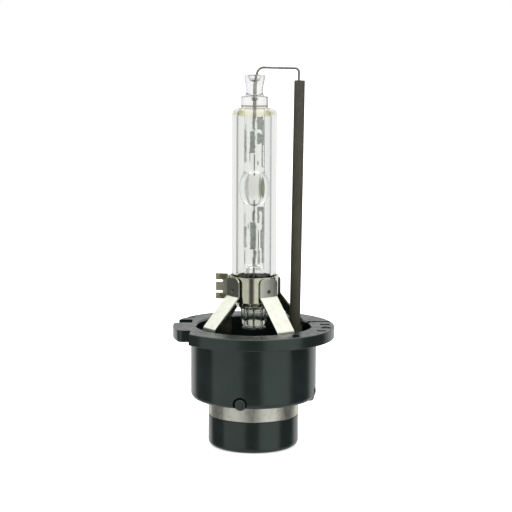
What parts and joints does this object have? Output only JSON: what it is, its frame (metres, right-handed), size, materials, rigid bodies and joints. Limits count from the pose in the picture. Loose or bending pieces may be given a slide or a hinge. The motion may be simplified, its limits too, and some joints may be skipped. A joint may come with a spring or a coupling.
{
  "type": "headlight bulb",
  "caption": "Gas-discharge headlight bulb: a quartz burner held by metal legs over a flanged plug-in base, with a return wire in a sliding ceramic tube.",
  "frame": {"origin": "centre of the base's bottom rim, on the lamp's axis", "axes": "+Z along the lamp's axis towards the burner's tip, +X towards the return wire, -Y the side between the two front legs; the flange's seating face is the plane z = 23.9 mm"},
  "size_m": [0.0318, 0.0318, 0.0745],
  "materials": {
    "black_plastic": "moulded high-temperature plastic, satin, with fine flow marks",
    "pin_plastic": "moulded plastic, satin",
    "contact_nickel": "nickel plated, mottled by handling",
    "contact_brass": "turned, lightly tarnished",
    "envelope_quartz": "clear ultraviolet-blocking quartz, yellow-tinted at the worked shoulders",
    "arc_tube_quartz": "clear fused quartz, fire polished",
    "foil_metal": "etched molybdenum foil",
    "tungsten": "drawn tungsten",
    "halide_salt": "condensed metal halide salt, olive green",
    "clamp_steel": "rolled strip, champagne tint, heat tinted at the ear",
    "leg_steel": "rolled strip, bright satin",
    "lead_metal": "drawn nickel wire, dulled",
    "tube_ceramic": "unglazed dark brown ceramic, speckled near its top"
  },
  "bodies": {
    "lamp": {"base_housing": "black_plastic", "plug_insulator": "black_plastic", "bayonet_pin_front": "pin_plastic", "bayonet_pin_right": "pin_plastic", "bayonet_pin_rear": "pin_plastic", "bayonet_pin_left": "pin_plastic", "contact_ring": "contact_nickel", "centre_contact": "contact_brass", "centre_contact_weld": "lead_metal", "leg_ring": "leg_steel", "leg_front_right": "leg_steel", "leg_rear_right": "leg_steel", "leg_rear_left": "leg_steel", "leg_front_left": "leg_steel", "clamp_band": "clamp_steel", "outer_envelope": "envelope_quartz", "arc_tube": "arc_tube_quartz", "upper_foil": "foil_metal", "lower_foil": "foil_metal", "upper_electrode": "tungsten", "lower_electrode": "tungsten", "halide_deposit": "halide_salt", "return_wire": "lead_metal", "return_wire_weld": "lead_metal", "lower_lead": "lead_metal"},
    "tube": {"insulating_tube": "tube_ceramic"}
  },
  "joints": [
    {"name": "tube_slide", "type": "slide", "parent": "lamp", "child": "tube", "axis": [0.0122, 0, 0.9999], "range_m": [0, 0.0015]}
  ]
}
